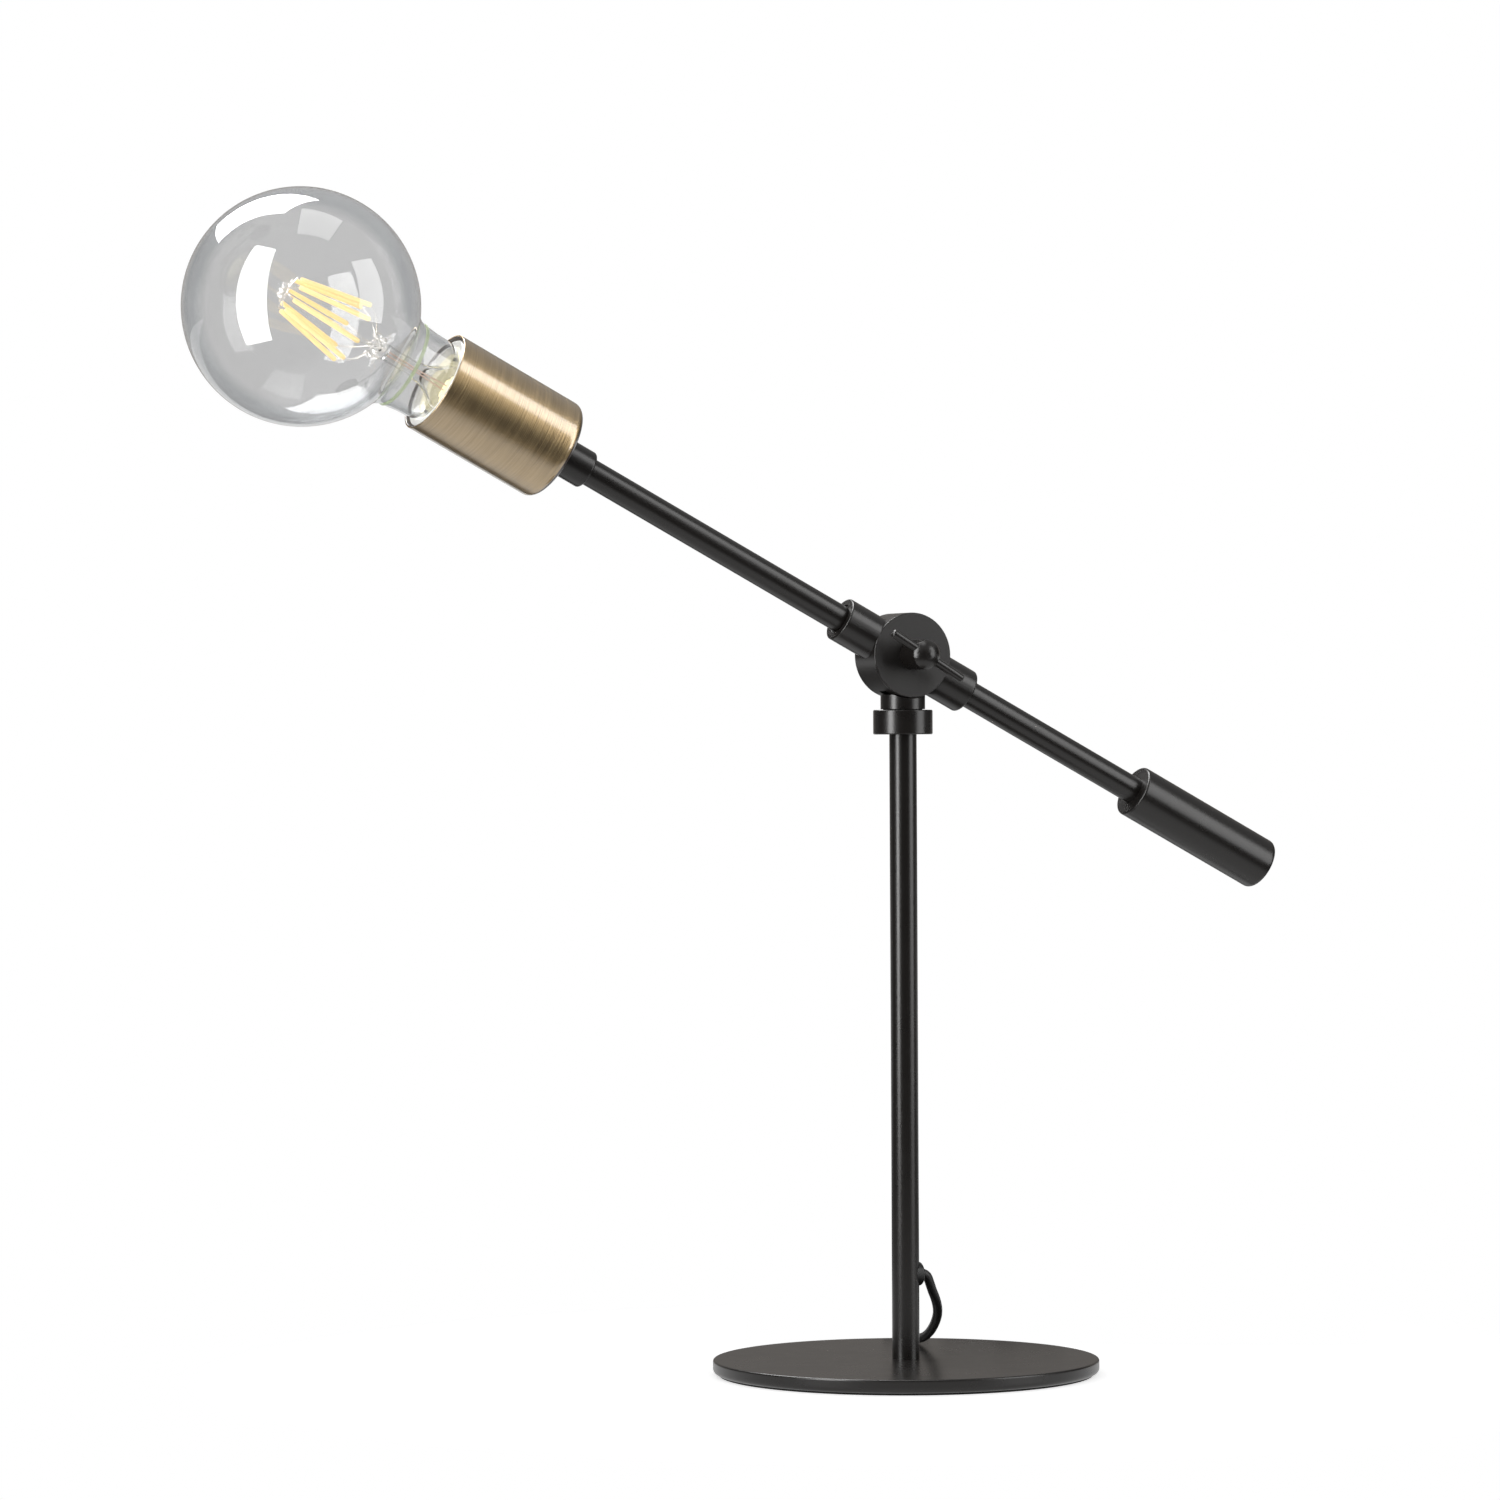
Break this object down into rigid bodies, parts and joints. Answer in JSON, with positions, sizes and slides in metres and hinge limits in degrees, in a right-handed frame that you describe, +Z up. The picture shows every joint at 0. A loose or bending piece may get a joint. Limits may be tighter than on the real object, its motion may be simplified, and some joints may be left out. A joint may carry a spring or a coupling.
{
  "type": "table lamp",
  "caption": "Balance-arm table lamp: a round foot and stem carry a swivelling, tilting arm with a bare globe bulb in a cup at one end and a counterweight at the other.",
  "frame": {"origin": "centre of the foot's underside, where it rests on the table", "axes": "+Z up the stem; the arm lies in the XZ plane with the bulb towards -X and the counterweight towards +X; the thumb screw points to -Y"},
  "size_m": [0.5091, 0.2619, 0.4845],
  "materials": {
    "black_paint": "fine matt black powder coat",
    "plated_steel": "satin nickel plate",
    "pad": "matt soft pad",
    "cord_black": "satin black flex sheath",
    "switch_black": "satin moulded",
    "plug_pins": "nickel plate",
    "washer_white": "natural nylon",
    "cup_brass": "brushed round the axis, satin lacquer",
    "contact_brass": "plain",
    "holder_white": "glazed white",
    "bulb_glass": "clear and polished",
    "wire_steel": "drawn wire",
    "filament_amber": "phosphor coated",
    "cement_ivory": "set cement, matt"
  },
  "bodies": {
    "base": {"base_plate": "black_paint", "base_pad": "pad", "base_nipple": "plated_steel", "base_washer": "plated_steel", "base_nut": "plated_steel", "stem_tube": "black_paint", "cord_grommet": "cord_black", "stem_lead": "cord_black", "collar": "black_paint", "collar_screw": "plated_steel", "swivel_washer": "washer_white", "cord_run": "cord_black", "cord_link": "cord_black", "cord_coil": "cord_black", "coil_tie": "switch_black", "cord_tail": "cord_black", "switch_base": "switch_black", "switch_cover": "switch_black", "plug_body": "switch_black", "plug_pin_left": "plug_pins", "plug_pin_right": "plug_pins"},
    "neck": {"swivel_neck": "black_paint"},
    "arm": {"knuckle": "black_paint", "friction_washer_front": "washer_white", "friction_washer_rear": "washer_white", "pivot_nut": "plated_steel", "front_rod": "black_paint", "rear_rod": "black_paint", "counterweight": "black_paint", "weight_screw": "plated_steel", "ferrule": "black_paint", "cup_nipple": "plated_steel", "cup_nut": "plated_steel", "cup": "cup_brass", "holder_body": "holder_white", "holder_ring": "holder_white", "holder_shell": "contact_brass", "holder_contact": "contact_brass", "arm_lead": "cord_black"},
    "screw": {"screw_head": "black_paint", "screw_bar": "black_paint"},
    "bulb": {"bulb_glass": "bulb_glass", "bulb_cap": "plated_steel", "bulb_cement": "cement_ivory", "bulb_driver": "cement_ivory", "bulb_insulator": "switch_black", "bulb_tip": "plated_steel", "bulb_stem": "bulb_glass", "filament_frame": "wire_steel", "filament_rods": "filament_amber"},
    "rocker": {"switch_rocker": "switch_black"}
  },
  "joints": [
    {"name": "swivel", "type": "hinge", "parent": "base", "child": "neck", "pos_m": [0, 0, 0.27], "axis": [0, 0, 1], "range_deg": [-160, 160]},
    {"name": "arm_tilt", "type": "hinge", "parent": "neck", "child": "arm", "pos_m": [0, 0, 0.2995], "axis": [0, 1, 0], "range_deg": [-26, 2]},
    {"name": "thumb_screw", "type": "hinge", "parent": "arm", "child": "screw", "pos_m": [0, -0.015, 0.2995], "axis": [0, -1, 0], "range_deg": [-60, 60]},
    {"name": "bulb_turn", "type": "hinge", "parent": "arm", "child": "bulb", "pos_m": [-0.18636, 0, 0.39651], "axis": [-0.893, 0, 0.4501], "range_deg": [0, 180]},
    {"name": "switch_rock", "type": "hinge", "parent": "base", "child": "rocker", "pos_m": [0.06628, 0.13009, 0.0099], "axis": [0.891, -0.454, 0], "range_deg": [-16, 0]}
  ]
}
